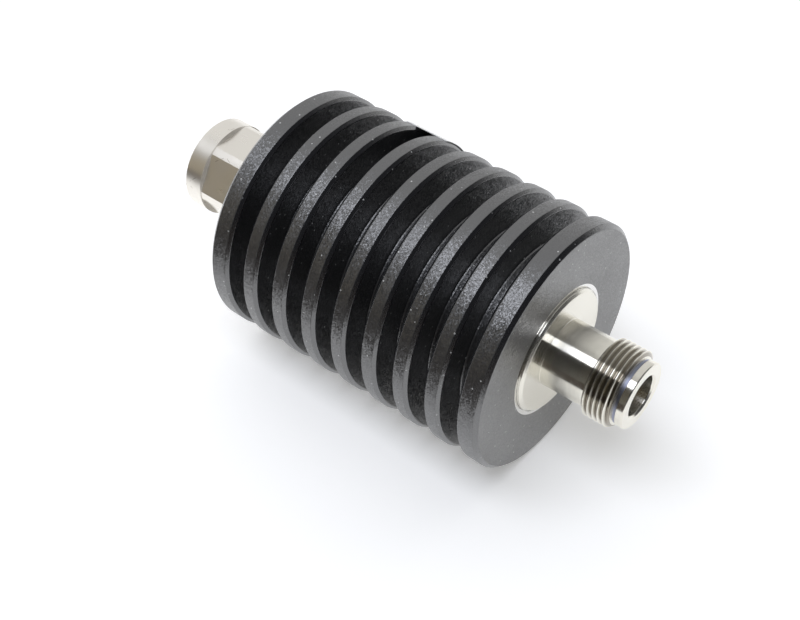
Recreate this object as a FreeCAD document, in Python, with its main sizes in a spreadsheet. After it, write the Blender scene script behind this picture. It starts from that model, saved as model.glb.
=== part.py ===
import FreeCAD, Part
import os
import Sketcher
from math import sqrt
from types import SimpleNamespace

# Coaxial attenuator: a finned round heatsink with a plug at one end and a jack at the other.
# All lengths are in millimetres. Along the axis, each piece on the jack side is measured from
# the heatsink's jack end, with +X outwards. Each piece on the plug side is measured from the
# heatsink's plug end and then turned half way round Z, so that its own +X is outwards too.

SIZES = {
    # heatsink, turned in one piece
    "fin_dia": 50.0,
    "root_dia": 37.0,
    "fin_count": 9,
    "fin_width": 3.5,
    "fin_gap": 3.7,
    "end_fin": 4.6,
    "fin_bevel": 0.6,
    "end_bevel": 0.8,
    "mouth_dia": 26.8,
    "mouth_depth": 0.15,
    # core that fills the heatsink's bore
    "core_dia": 25.2,
    "slide_gap": 0.05,
    "core_bevel": 0.4,
    "cover_depth": 5.6,
    "cover_length": 42.0,
    "pocket_length": 24.0,
    "pocket_width": 18.0,
    # flange and spigot shared by the plug and the jack
    "flange_proud": 0.8,
    "flange_depth": 2.2,
    "flange_bevel": 0.5,
    "spigot_dia": 18.0,
    "spigot_length": 5.0,
    # 50 ohm line
    "line_dia": 7.0,
    "inner_dia": 3.04,
    "bead_bore": 2.12,
    "bead_length": 5.0,
    "edge": 0.3,
    # jack
    "jack_reach": 18.0,
    "barrel_dia": 13.6,
    "thread_dia": 15.8,
    "thread_length": 6.2,
    "thread_rise": 0.6,
    "relief_dia": 12.8,
    "relief_width": 0.6,
    "nose_dia": 13.4,
    "nose_length": 1.5,
    "nose_bevel": 0.2,
    "jack_bore": 8.1,
    "jack_mouth": 0.4,
    "shell_depth": 9.1,
    "contact_recess": 4.0,
    "socket_dia": 1.66,
    "socket_depth": 4.5,
    "socket_bevel": 0.15,
    "socket_slots": 4,
    "socket_slot_width": 0.25,
    "bead_back": 2.0,
    # plug
    "nut_reach": 21.8,
    "nut_back": 3.0,
    "nut_dia": 19.6,
    "nut_flats": 17.8,
    "nut_round": 4.4,
    "nut_bevel": 0.4,
    "nut_thread_bore": 15.0,
    "nut_thread_length": 8.5,
    "nut_relief_dia": 16.2,
    "nut_cavity_lap": 1.0,
    "neck_dia": 13.2,
    "turn_gap": 0.1,
    "ring_setback": 4.0,
    "ring_seat_width": 1.0,
    "ring_seat_dia": 11.8,
    "ring_thickness": 0.9,
    "ring_outer_dia": 14.4,
    "ring_split": 24.0,
    "plug_recess": 1.0,
    "plug_depth": 9.1,
    "gasket_thickness": 1.2,
    "gasket_dia": 13.0,
    "sleeve_dia": 8.38,
    "sleeve_grip": 4.5,
    "sleeve_slots": 6,
    "sleeve_slot_width": 0.4,
    "sleeve_slot_length": 7.0,
    "pin_dia": 1.65,
    "pin_shoulder": 5.5,
    "pin_recess": 1.2,
    "pin_tip": 0.4,
    # attenuator chip on its mounting flange
    "chip_flange_width": 9.0,
    "chip_flange_length": 17.0,
    "chip_flange_thickness": 1.5,
    "chip_length": 8.0,
    "chip_width": 6.0,
    "chip_thickness": 1.0,
    "film_thickness": 0.1,
    "film_margin": 0.5,
    "tab_width": 2.0,
    "tab_thickness": 0.25,
    "tab_land": 1.0,
    "conductor_reach": 1.5,
    "tab_slot_depth": 1.3,
    # screws
    "screw_dia": 2.5,
    "screw_head_dia": 4.5,
    "screw_head_height": 1.5,
    "screw_socket": 1.5,
    "screw_socket_depth": 0.8,
    "screw_fit": 0.1,
    "cover_screw_length": 6.0,
    "cover_screw_inset": 8.1,
    "cover_screw_along": 36.0,
    "cover_screw_sink": 3.6,
    "chip_screw_length": 5.0,
    "chip_screw_across": 12.6,
    # blank sticker over two of the fins
    "label_thickness": 0.12,
    "label_inset": 0.4,
    "label_first_fin": 6,
    "label_arc": 92.0,
    "label_tilt": 6.0,
}
HEXAGON = 6


class Dim:
    """A length that carries its value and the expression that ties it to the sheet."""

    def __init__(self, value, text):
        self.value = value
        self.text = text

    def __add__(self, other):
        other = dim(other)
        return Dim(self.value + other.value, f"({self.text} + {other.text})")

    def __sub__(self, other):
        other = dim(other)
        return Dim(self.value - other.value, f"({self.text} - {other.text})")

    def __mul__(self, other):
        other = dim(other)
        return Dim(self.value * other.value, f"({self.text} * {other.text})")

    def __truediv__(self, other):
        other = dim(other)
        return Dim(self.value / other.value, f"({self.text} / {other.text})")

    def __neg__(self):
        return Dim(-self.value, f"(0 - {self.text})")


def dim(value):
    return value if isinstance(value, Dim) else Dim(float(value), str(value))


def bind(thing, prop, length):
    thing.setExpression(prop, dim(length).text)


doc = FreeCAD.newDocument("attenuator")
sheet = doc.addObject("Spreadsheet::Sheet", "Sizes")
for row, (alias, number) in enumerate(SIZES.items(), start=1):
    sheet.set(f"A{row}", alias)
    sheet.set(f"B{row}", str(number))
    sheet.setAlias(f"B{row}", alias)
doc.recompute()
s = SimpleNamespace(**{alias: Dim(float(number), f"Sizes.{alias}") for alias, number in SIZES.items()})

# lengths that follow from the driving ones
fin_pitch = s.fin_width + s.fin_gap
body_length = s.end_fin * 2 + fin_pitch * (s.fin_count - 1) - s.fin_width
fin_r = s.fin_dia / 2
root_r = s.root_dia / 2
core_r = s.core_dia / 2
line_r = s.line_dia / 2
inner_r = s.inner_dia / 2
jack_end = (body_length + s.nut_reach - s.jack_reach) / 2
plug_end = jack_end - body_length
core_middle = -body_length / 2
core_half = body_length / 2 - s.flange_depth
spigot_tip = s.flange_depth + s.spigot_length
nose_back = s.jack_reach - s.nose_length
thread_front = nose_back - s.relief_width
thread_back = thread_front - s.thread_length
plug_front = s.nut_reach - s.plug_recess
gasket_front = plug_front - s.plug_depth
neck_end = gasket_front - s.gasket_thickness
ring_place = neck_end - s.ring_setback
plug_bead_back = neck_end - s.bead_length
sleeve_seat = neck_end - s.sleeve_grip
cover_level = core_r - s.cover_depth
cover_screw_seat = core_r - s.cover_screw_sink
chip_floor = -(s.tab_thickness / 2 + s.film_thickness + s.chip_thickness + s.chip_flange_thickness)
conductor_tip = (body_length - s.pocket_length) / 2 + s.conductor_reach


def new_body(label, side="jack"):
    """A body on the attenuator's axis, measured from the named end of the heatsink."""
    body = doc.addObject("PartDesign::Body", label)
    body.Label = label
    half_turn = 180 if side == "plug" else 0
    turned = FreeCAD.Rotation(FreeCAD.Vector(0, 0, 1), half_turn)
    body.Placement = FreeCAD.Placement(FreeCAD.Vector(0, 0, 0), turned)
    bind(body, "Placement.Base.x", plug_end if side == "plug" else jack_end)
    bind(body, "Placement.Base.z", fin_r)
    return body


def origin_part(body, role):
    return next(item for item in body.Origin.OriginFeatures if item.Role == role)


def new_sketch(body, name, plane, level=None):
    sketch = body.newObject("Sketcher::SketchObject", f"{body.Label}_{name}")
    sketch.AttachmentSupport = [(origin_part(body, plane), "")]
    sketch.MapMode = "FlatFace"
    if level is not None:
        bind(sketch, "AttachmentOffset.Base.z", level)
    return sketch


def fix(sketch, kind, geometry, point, length):
    """Hold one coordinate of a point at a length measured from the sketch's origin."""
    if abs(dim(length).value) < 1e-9:
        axis = -2 if kind == "DistanceX" else -1
        sketch.addConstraint(Sketcher.Constraint("PointOnObject", geometry, point, axis))
        return
    constraint = Sketcher.Constraint(kind, -1, 1, geometry, point, dim(length).value)
    index = sketch.addConstraint(constraint)
    bind(sketch, f"Constraints[{index}]", length)


def outline(sketch, points):
    """A closed outline of straight runs, each corner held by the sheet's lengths."""
    points = [(dim(across), dim(up)) for across, up in points]
    corners = [FreeCAD.Vector(across.value, up.value, 0) for across, up in points]
    count = len(points)
    for i in range(count):
        sketch.addGeometry(Part.LineSegment(corners[i], corners[(i + 1) % count]), False)
    for i in range(count):
        sketch.addConstraint(Sketcher.Constraint("Coincident", i, 2, (i + 1) % count, 1))
    for i in range(count):
        across, up = points[i]
        previous = points[i - 1]
        if i > 0 and across.text == previous[0].text:
            sketch.addConstraint(Sketcher.Constraint("Vertical", i - 1))
        else:
            fix(sketch, "DistanceX", i, 1, across)
        if i > 0 and up.text == previous[1].text:
            sketch.addConstraint(Sketcher.Constraint("Horizontal", i - 1))
        else:
            fix(sketch, "DistanceY", i, 1, up)


def circles(sketch, spots, radius):
    for i, (across, up) in enumerate(spots):
        centre = FreeCAD.Vector(dim(across).value, dim(up).value, 0)
        sketch.addGeometry(Part.Circle(centre, FreeCAD.Vector(0, 0, 1), radius.value), False)
        fix(sketch, "DistanceX", i, 3, across)
        fix(sketch, "DistanceY", i, 3, up)
        index = sketch.addConstraint(Sketcher.Constraint("Radius", i, radius.value))
        bind(sketch, f"Constraints[{index}]", radius)


def rectangle(left, right, low, high):
    return [(left, low), (right, low), (right, high), (left, high)]


def turn(body, name, points, angle=360):
    """Turn an outline round the attenuator's axis."""
    sketch = new_sketch(body, name, "XZ_Plane")
    outline(sketch, points)
    feature = body.newObject("PartDesign::Revolution", f"{body.Label}_{name}_turned")
    feature.Profile = sketch
    feature.ReferenceAxis = (sketch, ["H_Axis"])
    bind(feature, "Angle", angle)
    body.Tip = feature
    return feature


def turned_cut(body, name, points):
    sketch = new_sketch(body, name, "XZ_Plane")
    outline(sketch, points)
    feature = body.newObject("PartDesign::Groove", f"{body.Label}_{name}_cut")
    feature.Profile = sketch
    feature.ReferenceAxis = (sketch, ["H_Axis"])
    feature.Angle = 360
    body.Tip = feature
    return feature


def slot_cut(body, name, points, width):
    """Cut an outline in the XZ plane through the body, the given width across."""
    sketch = new_sketch(body, name, "XZ_Plane")
    outline(sketch, points)
    feature = body.newObject("PartDesign::Pocket", f"{body.Label}_{name}_cut")
    feature.Profile = sketch
    feature.Midplane = True
    bind(feature, "Length", width)
    body.Tip = feature
    return feature


def drill(body, name, spots, radius, level, depth):
    """Round holes that go straight down from a level above the axis."""
    sketch = new_sketch(body, name, "XY_Plane", level)
    circles(sketch, spots, radius)
    feature = body.newObject("PartDesign::Pocket", f"{body.Label}_{name}_drilled")
    feature.Profile = sketch
    bind(feature, "Length", depth)
    body.Tip = feature
    return feature


def round_pattern(body, feature, count):
    pattern = body.newObject("PartDesign::PolarPattern", f"{feature.Name}_ring")
    pattern.Originals = [feature]
    pattern.Axis = (origin_part(body, "X_Axis"), [""])
    pattern.Angle = 360
    bind(pattern, "Occurrences", count)
    body.Tip = pattern
    return pattern


def heatsink():
    """One turned block: a groove cut once and repeated leaves the fins standing."""
    body = new_body("heatsink")
    bore_r = core_r + s.slide_gap
    mouth_r = s.mouth_dia / 2
    near, far = -s.mouth_depth, s.mouth_depth - body_length
    turn(body, "block", [
        (-body_length, mouth_r),
        (-body_length, fin_r - s.end_bevel),
        (s.end_bevel - body_length, fin_r),
        (-s.end_bevel, fin_r),
        (0, fin_r - s.end_bevel),
        (0, mouth_r),
        (near, bore_r),
        (far, bore_r),
    ])
    right, left = -s.end_fin, -(s.end_fin + s.fin_gap)
    clear_r = fin_r + s.fin_bevel
    groove = turned_cut(body, "groove", [
        (left, root_r),
        (right, root_r),
        (right, fin_r - s.fin_bevel),
        (right + s.fin_bevel * 2, clear_r),
        (left - s.fin_bevel * 2, clear_r),
        (left, fin_r - s.fin_bevel),
    ])
    pattern = body.newObject("PartDesign::LinearPattern", "heatsink_grooves")
    pattern.Originals = [groove]
    pattern.Direction = (origin_part(body, "X_Axis"), [""])
    pattern.Reversed = True
    bind(pattern, "Length", fin_pitch * (s.fin_count - 2))
    bind(pattern, "Occurrences", s.fin_count - 1)
    body.Tip = pattern
    return body


def spigot_outline(flange_r):
    """Back end of the plug body and of the jack body, up to the flange's front face."""
    spigot_r = s.spigot_dia / 2
    return [
        (-spigot_tip, line_r),
        (-spigot_tip, spigot_r - s.edge),
        (s.edge - spigot_tip, spigot_r),
        (-s.flange_depth, spigot_r),
        (-s.flange_depth, flange_r),
        (s.flange_proud - s.flange_bevel, flange_r),
        (s.flange_proud, flange_r - s.flange_bevel),
    ]


def jack_body():
    """Flange, plain barrel, threaded land, relief and nose, turned in one piece."""
    body = new_body("jack_body")
    barrel_r, thread_r, relief_r, nose_r, bore_r = (
        s.barrel_dia / 2, s.thread_dia / 2, s.relief_dia / 2, s.nose_dia / 2, s.jack_bore / 2)
    turn(body, "shell", spigot_outline(core_r) + [
        (s.flange_proud, barrel_r),
        (thread_back, barrel_r),
        (thread_back + s.thread_rise, thread_r),
        (thread_front - s.thread_rise, thread_r),
        (thread_front, relief_r),
        (nose_back, relief_r),
        (nose_back, nose_r),
        (s.jack_reach - s.nose_bevel, nose_r),
        (s.jack_reach, nose_r - s.nose_bevel),
        (s.jack_reach, bore_r + s.jack_mouth),
        (s.jack_reach - s.jack_mouth, bore_r),
        (s.jack_reach - s.shell_depth, bore_r),
        (s.jack_reach - s.shell_depth, line_r),
    ])
    return body


def bead(label, side, back):
    """Insulating bead pressed in the line, with the inner conductor through it."""
    body = new_body(label, side)
    turn(body, "bead", rectangle(back, back + s.bead_length, s.bead_bore / 2, line_r))
    return body


def cut_tab_slot(body):
    """Flat slot in the conductor's inner end that takes the chip's tab."""
    half = s.tab_thickness / 2
    points = rectangle(-conductor_tip, s.tab_slot_depth - conductor_tip, -half, half)
    slot_cut(body, "tab_slot", points, s.inner_dia * 2)


def jack_center_contact():
    """Inner conductor with a slotted socket at its outer end."""
    body = new_body("jack_center_contact")
    tip = s.jack_reach - s.contact_recess
    socket_r = s.socket_dia / 2
    bottom = tip - s.socket_depth
    drill_point = socket_r / 2
    bead_front = s.bead_back + s.bead_length
    turn(body, "rod", [
        (-conductor_tip, 0),
        (-conductor_tip, inner_r),
        (s.bead_back, inner_r),
        (s.bead_back, s.bead_bore / 2),
        (bead_front, s.bead_bore / 2),
        (bead_front, inner_r),
        (tip - s.edge, inner_r),
        (tip, inner_r - s.edge),
        (tip, socket_r + s.socket_bevel),
        (tip - s.socket_bevel, socket_r),
        (bottom, socket_r),
        (bottom - drill_point, 0),
    ])
    cut_tab_slot(body)
    points = rectangle(bottom + s.edge, tip + s.edge, 0, s.inner_dia)
    slot = slot_cut(body, "socket_slot", points, s.socket_slot_width)
    round_pattern(body, slot, s.socket_slots)
    return body


def plug_body():
    """Flange and neck, with a seat for the nut's ring and one for the contact sleeve."""
    body = new_body("plug_body", "plug")
    neck_r, sleeve_r, seat_r = s.neck_dia / 2, s.sleeve_dia / 2, s.ring_seat_dia / 2
    ring_front = ring_place + s.ring_seat_width
    turn(body, "shell", spigot_outline(core_r) + [
        (s.flange_proud, neck_r),
        (ring_place, neck_r),
        (ring_place, seat_r),
        (ring_front, seat_r),
        (ring_front, neck_r),
        (neck_end - s.edge, neck_r),
        (neck_end, neck_r - s.edge),
        (neck_end, sleeve_r),
        (sleeve_seat, sleeve_r),
        (sleeve_seat, line_r),
    ])
    return body


def plug_contact_sleeve():
    """Slotted outer contact, pressed in the plug body's neck."""
    body = new_body("plug_contact_sleeve", "plug")
    sleeve_r = s.sleeve_dia / 2
    turn(body, "tube", [
        (sleeve_seat, line_r),
        (sleeve_seat, sleeve_r),
        (plug_front - s.edge, sleeve_r),
        (plug_front, sleeve_r - s.edge),
        (plug_front, line_r),
    ])
    slot_back = plug_front - s.sleeve_slot_length
    points = rectangle(slot_back, plug_front + s.edge, line_r / 2, s.sleeve_dia)
    slot = slot_cut(body, "slot", points, s.sleeve_slot_width)
    round_pattern(body, slot, s.sleeve_slots)
    return body


def plug_center_pin():
    """Inner conductor that narrows to the plug's pin."""
    body = new_body("plug_center_pin", "plug")
    shoulder = plug_front - s.pin_shoulder
    tip = plug_front - s.pin_recess
    pin_r = s.pin_dia / 2
    turn(body, "rod", [
        (-conductor_tip, 0),
        (-conductor_tip, inner_r),
        (plug_bead_back, inner_r),
        (plug_bead_back, s.bead_bore / 2),
        (neck_end, s.bead_bore / 2),
        (neck_end, inner_r),
        (shoulder - s.edge, inner_r),
        (shoulder, inner_r - s.edge),
        (shoulder, pin_r),
        (tip - s.pin_tip, pin_r),
        (tip, pin_r - s.pin_tip),
        (tip, 0),
    ])
    cut_tab_slot(body)
    return body


def coupling_nut():
    """Nut that is round at the front and has six milled flats behind."""
    body = new_body("coupling_nut", "plug")
    nut_r, thread_r, relief_r = s.nut_dia / 2, s.nut_thread_bore / 2, s.nut_relief_dia / 2
    bore_r = s.neck_dia / 2 + s.turn_gap
    ring_r = s.ring_outer_dia / 2 + s.turn_gap
    ring_back = ring_place - s.turn_gap
    ring_front = ring_place + s.ring_seat_width + s.turn_gap
    inner_thread_back = s.nut_reach - s.nut_thread_length
    cavity_back = neck_end - s.nut_cavity_lap
    lead = relief_r - thread_r
    turn(body, "blank", [
        (s.nut_back, bore_r),
        (s.nut_back, nut_r - s.nut_bevel * 2),
        (s.nut_back + s.nut_bevel, nut_r),
        (s.nut_reach - s.nut_bevel, nut_r),
        (s.nut_reach, nut_r - s.nut_bevel),
        (s.nut_reach, relief_r),
        (s.nut_reach - lead, thread_r),
        (inner_thread_back, thread_r),
        (inner_thread_back, relief_r),
        (cavity_back, relief_r),
        (cavity_back, bore_r),
        (ring_front, bore_r),
        (ring_front, ring_r),
        (ring_back, ring_r),
        (ring_back, bore_r),
    ])
    flat_front = s.nut_reach - s.nut_round
    points = rectangle(s.nut_back - s.edge, flat_front, s.nut_flats / 2, s.nut_dia)
    flat = slot_cut(body, "flat", points, s.nut_dia * 2)
    round_pattern(body, flat, HEXAGON)
    return body


def nut_retaining_ring():
    """Split spring ring in the neck's groove, which holds the nut on."""
    body = new_body("nut_retaining_ring", "plug")
    back = ring_place + (s.ring_seat_width - s.ring_thickness) / 2
    inner = s.ring_seat_dia / 2
    points = rectangle(back, back + s.ring_thickness, inner, s.ring_outer_dia / 2)
    turn(body, "ring", points, dim(360) - s.ring_split)
    return body


def plug_gasket():
    """Flat sealing ring round the foot of the contact sleeve."""
    body = new_body("plug_gasket", "plug")
    turn(body, "ring", rectangle(neck_end, gasket_front, s.sleeve_dia / 2, s.gasket_dia / 2))
    return body


def core_block():
    """Round block that carries the line, the chip and both spigots."""
    body = new_body("core_block")
    socket_r = s.spigot_dia / 2
    right, left = core_middle + core_half, core_middle - core_half
    deep = s.spigot_length
    turn(body, "block", [
        (left, socket_r),
        (left, core_r - s.core_bevel),
        (left + s.core_bevel, core_r),
        (right - s.core_bevel, core_r),
        (right, core_r - s.core_bevel),
        (right, socket_r),
        (right - deep, socket_r),
        (right - deep, line_r),
        (left + deep, line_r),
        (left + deep, socket_r),
    ])
    half_cover, half_pocket = s.cover_length / 2, s.pocket_length / 2
    seat = rectangle(core_middle - half_cover, core_middle + half_cover, cover_level, s.core_dia)
    slot_cut(body, "cover_seat", seat, s.core_dia * 2)
    well = rectangle(core_middle - half_pocket, core_middle + half_pocket, chip_floor, s.core_dia)
    slot_cut(body, "chip_pocket", well, s.pocket_width)
    hole_r = s.screw_dia / 2
    drill(body, "cover_taps", cover_screw_spots(), hole_r, cover_screw_seat, s.cover_screw_length)
    drill(body, "chip_taps", chip_screw_spots(), hole_r, chip_floor, s.chip_screw_length)
    return body


def cover_screw_spots():
    along, across = s.cover_screw_along / 2, core_r - s.cover_screw_inset
    columns = (core_middle - along, core_middle + along)
    return [(column, side) for column in columns for side in (-across, across)]


def chip_screw_spots():
    across = s.chip_screw_across / 2
    return [(core_middle, -across), (core_middle, across)]


def core_cover():
    """Lid over the chip's pocket, cut from the same round as the block."""
    body = new_body("core_cover")
    half_cover = s.cover_length / 2
    left, right = core_middle - half_cover, core_middle + half_cover
    turn(body, "round", rectangle(left, right, 0, core_r))
    below = rectangle(left - s.edge, right + s.edge, -s.core_dia, cover_level)
    slot_cut(body, "underside", below, s.core_dia * 2)
    head_r = s.screw_head_dia / 2 + s.screw_fit
    spots = cover_screw_spots()
    drill(body, "head_seats", spots, head_r, core_r, s.cover_screw_sink)
    drill(body, "holes", spots, s.screw_dia / 2 + s.screw_fit, core_r, s.core_dia)
    return body


def plate(label, length, width, thickness, bottom):
    """Flat rectangular piece centred over the middle of the core."""
    body = new_body(label)
    left, right = core_middle - length / 2, core_middle + length / 2
    sketch = new_sketch(body, "edge", "XZ_Plane")
    outline(sketch, rectangle(left, right, bottom, bottom + thickness))
    feature = body.newObject("PartDesign::Pad", f"{label}_pad")
    feature.Profile = sketch
    feature.Midplane = True
    bind(feature, "Length", width)
    body.Tip = feature
    return body


def chip_flange():
    body = plate("chip_flange", s.chip_flange_width, s.chip_flange_length,
                 s.chip_flange_thickness, chip_floor)
    hole_r = s.screw_dia / 2 + s.screw_fit
    level = chip_floor + s.chip_flange_thickness
    drill(body, "holes", chip_screw_spots(), hole_r, level, s.chip_flange_thickness * 2)
    return body


def attenuator_chip():
    bottom = chip_floor + s.chip_flange_thickness
    return plate("attenuator_chip", s.chip_length, s.chip_width, s.chip_thickness, bottom)


def resistive_film():
    bottom = chip_floor + s.chip_flange_thickness + s.chip_thickness
    length, width = s.chip_length - s.film_margin * 2, s.chip_width - s.film_margin * 2
    return plate("resistive_film", length, width, s.film_thickness, bottom)


def tab(label, side):
    """Thin strip from a conductor's slot to the film's edge."""
    body = new_body(label, side)
    start = s.tab_slot_depth - conductor_tip
    end = s.chip_length / 2 - s.film_margin - s.tab_land - body_length / 2
    half = s.tab_thickness / 2
    sketch = new_sketch(body, "edge", "XZ_Plane")
    outline(sketch, rectangle(end, start, -half, half))
    feature = body.newObject("PartDesign::Pad", f"{label}_pad")
    feature.Profile = sketch
    feature.Midplane = True
    bind(feature, "Length", s.tab_width)
    body.Tip = feature
    return body


def screws(label, spot, seat, length, row_gap, column_gap=None):
    """Cap screws with hexagon sockets, all alike: one row of two, or two such rows."""
    body = doc.addObject("PartDesign::Body", label)
    body.Label = label
    body.AllowCompound = True
    bind(body, "Placement.Base.x", jack_end + spot[0])
    bind(body, "Placement.Base.y", spot[1])
    bind(body, "Placement.Base.z", fin_r + seat)
    head_r, shank_r = s.screw_head_dia / 2, s.screw_dia / 2
    profile = new_sketch(body, "profile", "XZ_Plane")
    outline(profile, [
        (0, -length),
        (shank_r - s.edge, -length),
        (shank_r, s.edge - length),
        (shank_r, 0),
        (head_r, 0),
        (head_r, s.screw_head_height - s.edge),
        (head_r - s.edge, s.screw_head_height),
        (0, s.screw_head_height),
    ])
    blank = body.newObject("PartDesign::Revolution", f"{label}_blank")
    blank.Profile = profile
    blank.ReferenceAxis = (profile, ["V_Axis"])
    blank.Angle = 360
    key = new_sketch(body, "socket", "XY_Plane", s.screw_head_height)
    flat, corner = s.screw_socket / 2, s.screw_socket / sqrt(3)
    outline(key, [
        (flat, -(corner / 2)), (flat, corner / 2), (0, corner),
        (-flat, corner / 2), (-flat, -(corner / 2)), (0, -corner),
    ])
    socket = body.newObject("PartDesign::Pocket", f"{label}_socket")
    socket.Profile = key
    bind(socket, "Length", s.screw_socket_depth)
    pattern = body.newObject("PartDesign::LinearPattern", f"{label}_rows")
    pattern.Originals = [blank, socket]
    pattern.Direction = (origin_part(body, "Y_Axis"), [""])
    pattern.Occurrences = 2
    bind(pattern, "Length", row_gap)
    if column_gap is not None:
        pattern.Direction2 = (origin_part(body, "X_Axis"), [""])
        pattern.Occurrences2 = 2
        bind(pattern, "Length2", column_gap)
    body.Tip = pattern
    return body


def sticker():
    """Blank sticker wrapped over the lands of two neighbouring fins."""
    body = new_body("label")
    turned = FreeCAD.Rotation(FreeCAD.Vector(1, 0, 0), s.label_tilt.value)
    body.Placement = FreeCAD.Placement(body.Placement.Base, turned)
    bind(body, "Placement.Rotation.Angle", s.label_tilt)
    right = -(s.end_fin + s.fin_gap + fin_pitch * (s.label_first_fin - 2))
    left = right - fin_pitch - s.fin_width
    sketch = new_sketch(body, "sheet", "XY_Plane")
    outline(sketch, rectangle(left + s.label_inset, right - s.label_inset,
                              fin_r, fin_r + s.label_thickness))
    sheet_arc = body.newObject("PartDesign::Revolution", "label_sheet_turned")
    sheet_arc.Profile = sketch
    sheet_arc.ReferenceAxis = (sketch, ["H_Axis"])
    sheet_arc.Midplane = True
    bind(sheet_arc, "Angle", s.label_arc)
    body.Tip = sheet_arc
    return body


pieces = [
    heatsink(),
    core_block(),
    core_cover(),
    screws("cover_screws", cover_screw_spots()[0], cover_screw_seat, s.cover_screw_length,
           (core_r - s.cover_screw_inset) * 2, s.cover_screw_along),
    chip_flange(),
    screws("chip_screws", chip_screw_spots()[0], chip_floor + s.chip_flange_thickness,
           s.chip_screw_length, s.chip_screw_across),
    attenuator_chip(),
    resistive_film(),
    tab("input_tab", "plug"),
    tab("output_tab", "jack"),
    jack_body(),
    bead("jack_insulator", "jack", s.bead_back),
    jack_center_contact(),
    plug_body(),
    plug_contact_sleeve(),
    bead("plug_insulator", "plug", plug_bead_back),
    plug_center_pin(),
    plug_gasket(),
    nut_retaining_ring(),
    coupling_nut(),
    sticker(),
]
doc.recompute()

for thing in doc.Objects:
    faults = [state for state in thing.State if state in ("Invalid", "Error")]
    if faults:
        raise RuntimeError(f"{thing.Label} failed: {faults}")
for piece in pieces:
    if piece.Shape.isNull() or not piece.Shape.isValid():
        raise RuntimeError(f"{piece.Label} has no valid shape")

os.makedirs("parts", exist_ok=True)
for piece in pieces:
    piece.Shape.exportStep(f"parts/{piece.Label}.step")
    box = piece.Shape.BoundBox
    print(f"{piece.Label}: {piece.Shape.Volume:.1f} mm3, {len(piece.Shape.Solids)} solid(s), "
          f"x {box.XMin:.2f} to {box.XMax:.2f}, z {box.ZMin:.2f} to {box.ZMax:.2f}")
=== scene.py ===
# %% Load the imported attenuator
import math

import bmesh
import bpy
from mathutils import Matrix, Vector


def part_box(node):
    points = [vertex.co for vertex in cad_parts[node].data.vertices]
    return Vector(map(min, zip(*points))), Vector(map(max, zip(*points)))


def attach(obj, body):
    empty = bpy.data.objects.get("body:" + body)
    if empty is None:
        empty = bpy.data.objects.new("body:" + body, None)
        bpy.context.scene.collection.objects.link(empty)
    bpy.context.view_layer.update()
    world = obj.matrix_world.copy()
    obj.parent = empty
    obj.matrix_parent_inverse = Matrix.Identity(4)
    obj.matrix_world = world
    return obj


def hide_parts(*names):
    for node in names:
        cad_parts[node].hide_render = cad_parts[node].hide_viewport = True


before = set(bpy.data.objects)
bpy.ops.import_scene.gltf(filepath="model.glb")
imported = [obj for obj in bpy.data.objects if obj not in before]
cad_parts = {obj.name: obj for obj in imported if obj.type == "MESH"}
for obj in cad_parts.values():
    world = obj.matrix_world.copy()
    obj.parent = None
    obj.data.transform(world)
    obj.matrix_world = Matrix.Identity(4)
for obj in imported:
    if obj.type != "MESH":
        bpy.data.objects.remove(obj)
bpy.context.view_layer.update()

# %% [markdown]
# # A coaxial attenuator
# An attenuator of this kind is a round of aluminium with nine turned fins, dyed black. A threaded
# jack stands at one end and a plug with a spinning nut at the other. The CAD nodes carry the
# construction. This script gives each visible piece its finish. It also turns three pieces once
# more, finer than the CAD solids hold them, because their edges and threads catch the light.

# %% Shared measures
MM = 0.001
heatsink_low, heatsink_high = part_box("heatsink")
AXIS_Z = (heatsink_low.z + heatsink_high.z) / 2
JACK_END = heatsink_high.x
PLUG_END = heatsink_low.x
FIN_R = (heatsink_high.z - heatsink_low.z) / 2 / MM
print("fin radius", round(FIN_R, 3), "mm, body", round((JACK_END - PLUG_END) / MM, 2), "mm long")

# %% [markdown]
# ## The camera
# A camera with no roll looks 46 degrees down on the axis from the jack's side. Its place and its
# focal length come from fitting the edges of all nine fins and of the end face.

# %% Camera
FOCAL_PX = 1394.9
IMAGE_WIDTH_PX = 800
SENSOR_MM = 36.0
PRINCIPAL_ABOVE_MIDDLE_PX = 2.5
CAMERA_AT = Vector((117.65, -151.4, 213.2)) * MM
CAMERA_LOOKS = Vector((-0.4329, 0.5428, -0.7198))

camera_data = bpy.data.cameras.new("camera")
camera_data.lens = SENSOR_MM * FOCAL_PX / IMAGE_WIDTH_PX
camera_data.sensor_width = SENSOR_MM
camera_data.shift_y = -PRINCIPAL_ABOVE_MIDDLE_PX / IMAGE_WIDTH_PX
camera_data.clip_start, camera_data.clip_end = 0.01, 20
camera = bpy.data.objects.new("camera", camera_data)
camera.location = CAMERA_AT
camera.rotation_mode = "QUATERNION"
camera.rotation_quaternion = CAMERA_LOOKS.to_track_quat("-Z", "Y")
bpy.context.scene.collection.objects.link(camera)
bpy.context.scene.camera = camera
bpy.context.scene.view_settings.view_transform = "Standard"
print("lens", round(camera_data.lens, 2), "mm")

# %% [markdown]
# ## Helpers for finishes
# Colours are written as sRGB hex values, and one function turns them to the linear values that
# the shader needs. One more adds a node, sets it and links it.


# %% Colour and node helpers
def linear(hex_colour):
    channels = [int(hex_colour[i:i + 2], 16) / 255 for i in (1, 3, 5)]
    return [c / 12.92 if c <= 0.04045 else ((c + 0.055) / 1.055) ** 2.4 for c in channels] + [1.0]


def add(tree, kind, inputs=None, **settings):
    """Add a node. An input given as a socket is linked, and any other value is set."""
    node = tree.nodes.new("ShaderNode" + kind)
    for name, value in settings.items():
        setattr(node, name, value)
    for name, value in (inputs or {}).items():
        if isinstance(value, bpy.types.NodeSocket):
            tree.links.new(value, node.inputs[name])
        else:
            node.inputs[name].default_value = value
    return node


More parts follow.
